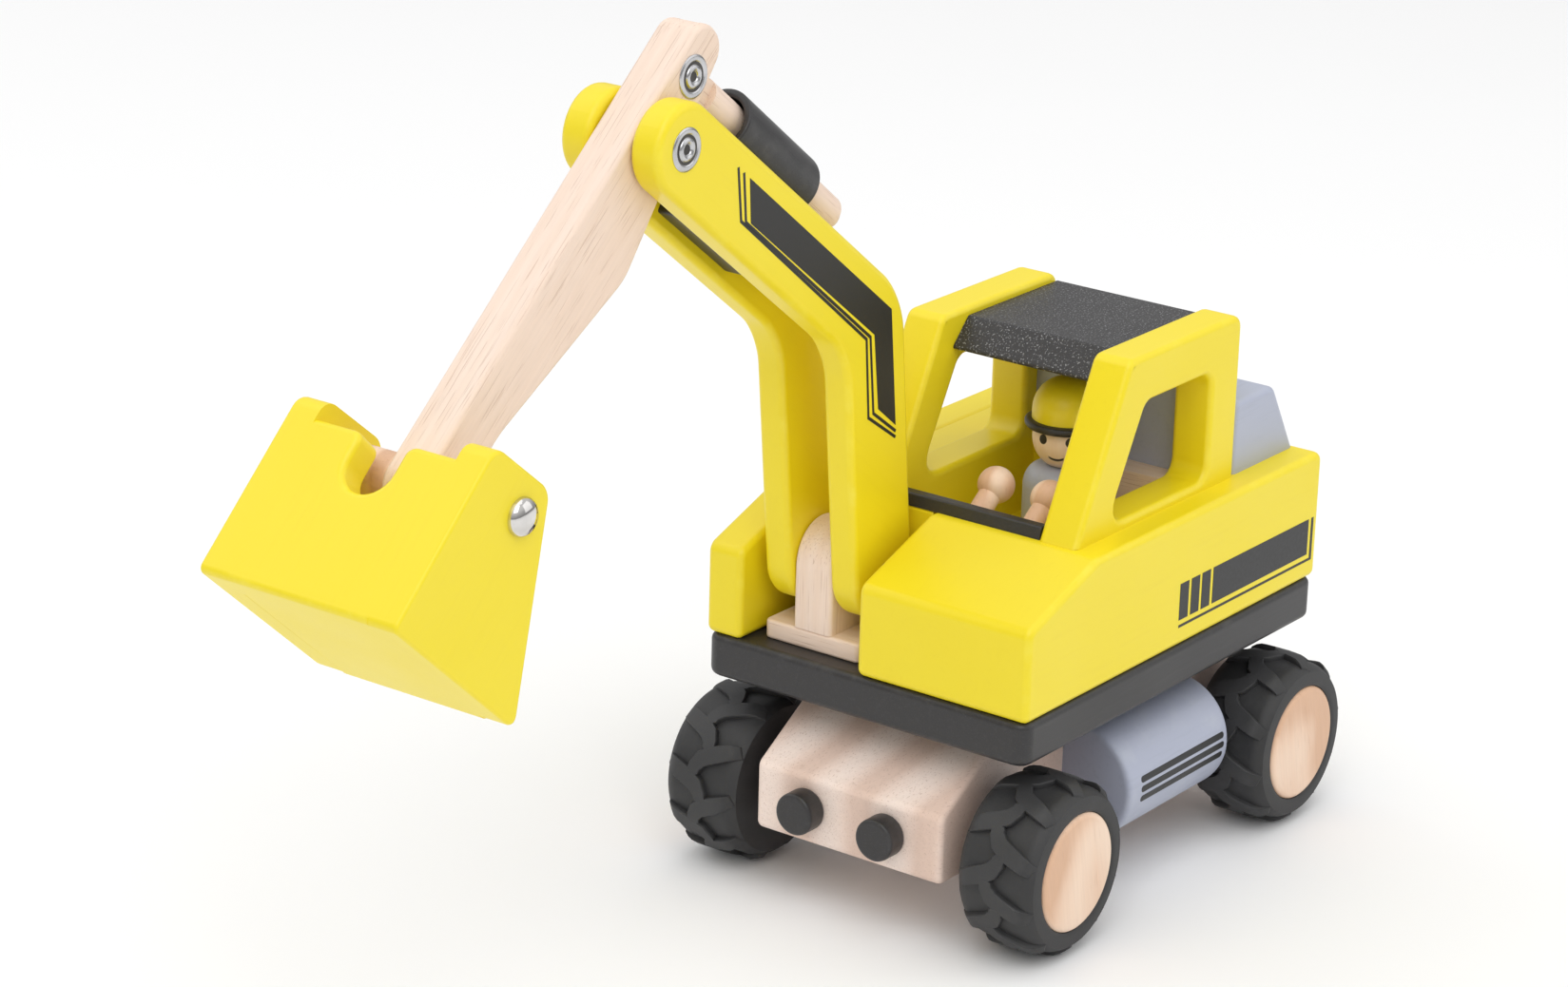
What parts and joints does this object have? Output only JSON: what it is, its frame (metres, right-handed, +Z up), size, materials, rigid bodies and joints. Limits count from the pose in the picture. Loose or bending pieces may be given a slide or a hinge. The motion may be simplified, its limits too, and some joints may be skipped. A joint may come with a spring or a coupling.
{
  "type": "toy excavator",
  "caption": "Wooden toy wheeled excavator with a slewing yellow cab, a hinged boom, stick and bucket, a sliding push rod, a peg driver in a hard hat, and lugged black tyres on plain wood hubs.",
  "frame": {"origin": "On the floor, on the vertical axis that the house slews about, midway between the axles.", "axes": "+X points to the boom and headlamp end, +Y to the driver's left, +Z up."},
  "size_m": [0.4025, 0.1406, 0.2894],
  "materials": {
    "beech": "satin",
    "pale_wood": "satin",
    "yellow_paint": "satin",
    "black_stain": "satin",
    "grey_paint": "satin",
    "tyre_rubber": "matte",
    "steel": "satin",
    "chrome": "polished"
  },
  "bodies": {
    "chassis": {"chassis_block": "beech", "headlamp_left": "black_stain", "headlamp_right": "black_stain", "tank_left": "grey_paint", "tank_right": "grey_paint", "turntable_washer": "black_stain", "slew_pin": "steel"},
    "front_axle": {"front_axle_rod": "beech", "front_spacers": "black_stain", "front_hub_left": "pale_wood", "front_hub_right": "pale_wood", "front_tyre_left": "tyre_rubber", "front_tyre_right": "tyre_rubber"},
    "rear_axle": {"rear_axle_rod": "beech", "rear_spacers": "black_stain", "rear_hub_left": "pale_wood", "rear_hub_right": "pale_wood", "rear_tyre_left": "tyre_rubber", "rear_tyre_right": "tyre_rubber"},
    "house": {"turntable_plate": "black_stain", "left_side_block": "yellow_paint", "right_side_block": "yellow_paint", "core_block": "yellow_paint", "cab_panel_left": "yellow_paint", "cab_panel_right": "yellow_paint", "cab_roof": "black_stain", "cab_back_wall": "grey_paint", "cab_sill": "black_stain", "cab_bench": "beech", "engine_block": "grey_paint", "lever_left": "pale_wood", "lever_right": "pale_wood", "driver_body": "grey_paint", "driver_head": "pale_wood", "driver_brim": "black_stain", "driver_hat": "yellow_paint", "boom_foot_board": "beech", "boom_post": "beech"},
    "boom": {"boom_plate_left": "yellow_paint", "boom_plate_right": "yellow_paint", "boom_pivot_pin": "beech", "boom_filler": "black_stain", "barrel": "black_stain", "stick_rivet": "steel"},
    "stick": {"stick": "pale_wood", "rod_rivet": "steel"},
    "rod": {"push_rod": "pale_wood"},
    "bucket": {"bucket_back": "yellow_paint", "bucket_floor": "yellow_paint", "bucket_side_left": "yellow_paint", "bucket_side_right": "yellow_paint", "bucket_pin": "chrome", "bucket_spacers": "pale_wood"}
  },
  "joints": [
    {"name": "front_axle_spin", "type": "hinge", "parent": "chassis", "child": "front_axle", "pos_m": [0.0663, 0, 0.0279], "axis": [0, 1, 0], "continuous": true},
    {"name": "rear_axle_spin", "type": "hinge", "parent": "chassis", "child": "rear_axle", "pos_m": [-0.0663, 0, 0.0279], "axis": [0, 1, 0], "continuous": true},
    {"name": "slew", "type": "hinge", "parent": "chassis", "child": "house", "pos_m": [0, 0, 0.0645], "axis": [0, 0, 1], "continuous": true},
    {"name": "boom_lift", "type": "hinge", "parent": "house", "child": "boom", "pos_m": [0.0635, -0.025, 0.1055], "axis": [0, 1, 0], "range_deg": [-5, 30]},
    {"name": "stick_swing", "type": "hinge", "parent": "boom", "child": "stick", "pos_m": [0.1666, -0.025, 0.2595], "axis": [0, 1, 0], "range_deg": [-18, 25]},
    {"name": "rod_pivot", "type": "hinge", "parent": "stick", "child": "rod", "pos_m": [0.15055, -0.025, 0.27547], "axis": [0, 1, 0], "range_deg": [-25, 18]},
    {"name": "bucket_curl", "type": "hinge", "parent": "stick", "child": "bucket", "pos_m": [0.25766, -0.025, 0.18057], "axis": [0, 1, 0], "range_deg": [-50, 60]}
  ],
  "couplings": [
    {"joint": "rod_pivot", "follows": "stick_swing", "ratio": -1}
  ]
}
